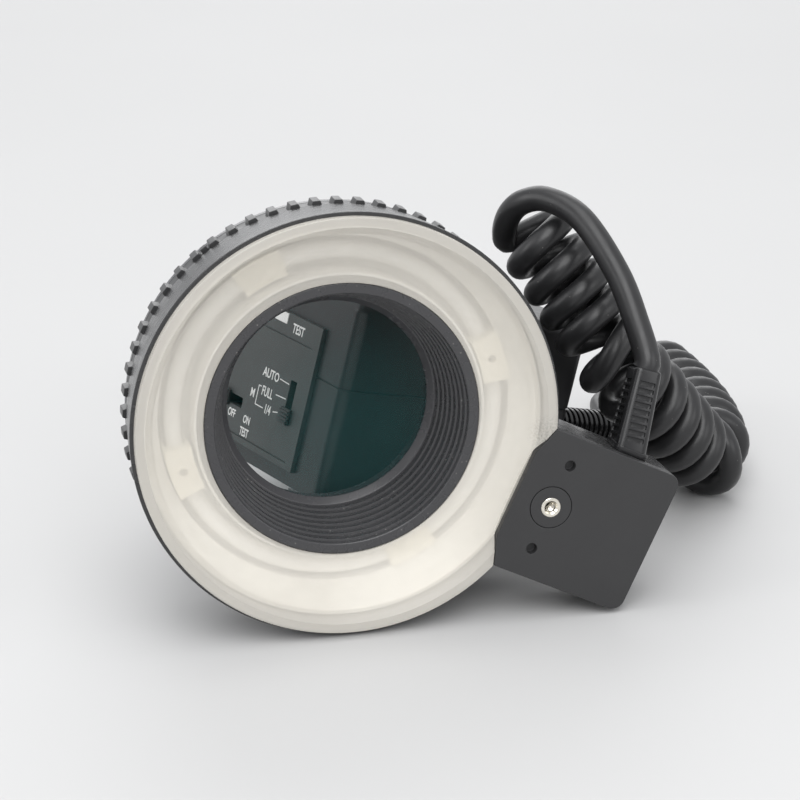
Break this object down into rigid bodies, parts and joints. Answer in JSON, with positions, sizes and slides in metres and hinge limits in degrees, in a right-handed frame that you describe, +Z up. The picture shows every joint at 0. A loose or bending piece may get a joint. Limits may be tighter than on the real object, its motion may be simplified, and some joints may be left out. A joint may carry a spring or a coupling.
{
  "type": "macro ring flash",
  "caption": "Ring flash head with a frosted light ring, a toothed lens collar and a junction box, joined by a curly cord to a shoe-mount power pack.",
  "frame": {"origin": "middle of head and pack seen from above, on the surface they stand on", "axes": "+Z up, the ring's front faces -Y turned a little to +X, the pack stands behind the ring at +Y"},
  "size_m": [0.1663, 0.1708, 0.1067],
  "materials": {
    "frosted_cover": "frosted clear plastic",
    "black_housing": "fine satin black",
    "grey_housing": "satin dark grey",
    "box_plastic": "fine matt dark grey",
    "reflector_metal": "bright sheet",
    "tube_glass": "clear glass tube",
    "ivory_plastic": "translucent ivory",
    "lamp_glass": "small clear lamp",
    "baffle_black": "satin black paint on ribs",
    "ring_black": "semi gloss black",
    "front_glass": "coated flat glass",
    "steel": "plain sheet and screws",
    "brass_insert": "turned brass",
    "spring_bronze": "contact bronze",
    "board_green": "circuit board lacquer",
    "coil_copper": "wound copper",
    "boot_rubber": "matt black rubber",
    "cord_jacket": "satin dark grey jacket",
    "pack_plastic": "fine texture",
    "panel_plastic": "smooth grey panel",
    "window_plastic": "white translucent",
    "knob_plastic": "ribbed black",
    "cell_wrap": "plastic sleeve",
    "capacitor_sleeve": "shrink sleeve",
    "core_iron": "laminated core and tape"
  },
  "bodies": {
    "body": {"front_cover": "frosted_cover", "head_housing": "black_housing", "reflector": "reflector_metal", "flash_tubes": "tube_glass", "tube_end_holders": "ivory_plastic", "lamp_shrouds": "ivory_plastic", "focusing_lamps": "lamp_glass", "inner_baffle": "baffle_black", "glass_retaining_ring": "ring_black", "protective_glass": "front_glass", "collar_retaining_plate": "steel", "retaining_screws": "steel", "junction_box_cover": "box_plastic", "insert_boss": "box_plastic", "threaded_insert": "brass_insert", "head_circuit_board": "board_green", "trigger_coil": "coil_copper", "head_strain_relief": "boot_rubber", "cord_lead": "cord_jacket", "cord_curls": "cord_jacket", "cord_tail": "cord_jacket", "pack_strain_relief": "boot_rubber", "lower_shell": "pack_plastic", "upper_shell": "pack_plastic", "control_panel": "panel_plastic", "lamp_window": "window_plastic", "mode_switch_body": "box_plastic", "power_switch_body": "box_plastic", "door_hinge_pin": "steel", "battery_cells": "cell_wrap", "cell_contacts": "spring_bronze", "chassis_plate": "box_plastic", "main_circuit_board": "board_green", "main_capacitor": "capacitor_sleeve", "transformer": "core_iron", "shoe_foot": "ring_black", "pack_screws": "steel"},
    "collar": {"mounting_collar": "grey_housing", "adapter_plate": "ring_black", "adapter_ring": "ring_black", "button_spring": "spring_bronze"},
    "release_button": {"release_button": "grey_housing"},
    "power_slider": {"power_slider": "knob_plastic"},
    "mode_slider": {"mode_slider": "knob_plastic"},
    "battery_door": {"battery_door": "pack_plastic", "door_contacts": "spring_bronze"},
    "lock_washer": {"lock_washer": "steel"},
    "shoe_lock_ring": {"shoe_lock_ring": "grey_housing"},
    "shoe_contacts": {"shoe_contacts": "spring_bronze"}
  },
  "joints": [
    {"name": "collar_turn", "type": "hinge", "parent": "body", "child": "collar", "pos_m": [-0.01725, -0.04103, 0.0524], "axis": [0.2311, -0.9699, 0.0767], "continuous": true},
    {"name": "release_button_press", "type": "slide", "parent": "collar", "child": "release_button", "axis": [0.5862, 0.0758, -0.8066], "range_m": [0, 0.0008], "stiffness_N_per_m": 400},
    {"name": "power_switch_slide", "type": "slide", "parent": "body", "child": "power_slider", "axis": [0.5707, -0.8211, 0], "range_m": [0, 0.0064]},
    {"name": "mode_switch_slide", "type": "slide", "parent": "body", "child": "mode_slider", "axis": [0.2289, 0.1591, 0.9604], "range_m": [0, 0.008]},
    {"name": "battery_door_hinge", "type": "hinge", "parent": "body", "child": "battery_door", "pos_m": [-0.00063, 0.06439, 0.01136], "axis": [-0.2289, -0.1591, -0.9604], "range_deg": [0, 100]},
    {"name": "shoe_lock_slide", "type": "slide", "parent": "body", "child": "lock_washer", "axis": [-0.2289, -0.1591, -0.9604], "range_m": [0, 0.001]},
    {"name": "shoe_lock_turn", "type": "hinge", "parent": "lock_washer", "child": "shoe_lock_ring", "pos_m": [-0.01758, 0.01363, 0.00923], "axis": [-0.2289, -0.1591, -0.9604], "range_deg": [0, 360]},
    {"name": "contact_pins_press", "type": "slide", "parent": "body", "child": "shoe_contacts", "axis": [0.2289, 0.1591, 0.9604], "range_m": [0, 0.0005], "stiffness_N_per_m": 200}
  ],
  "couplings": [
    {"joint": "shoe_lock_turn", "follows": "shoe_lock_slide", "rad_per_m": 6283.2}
  ]
}
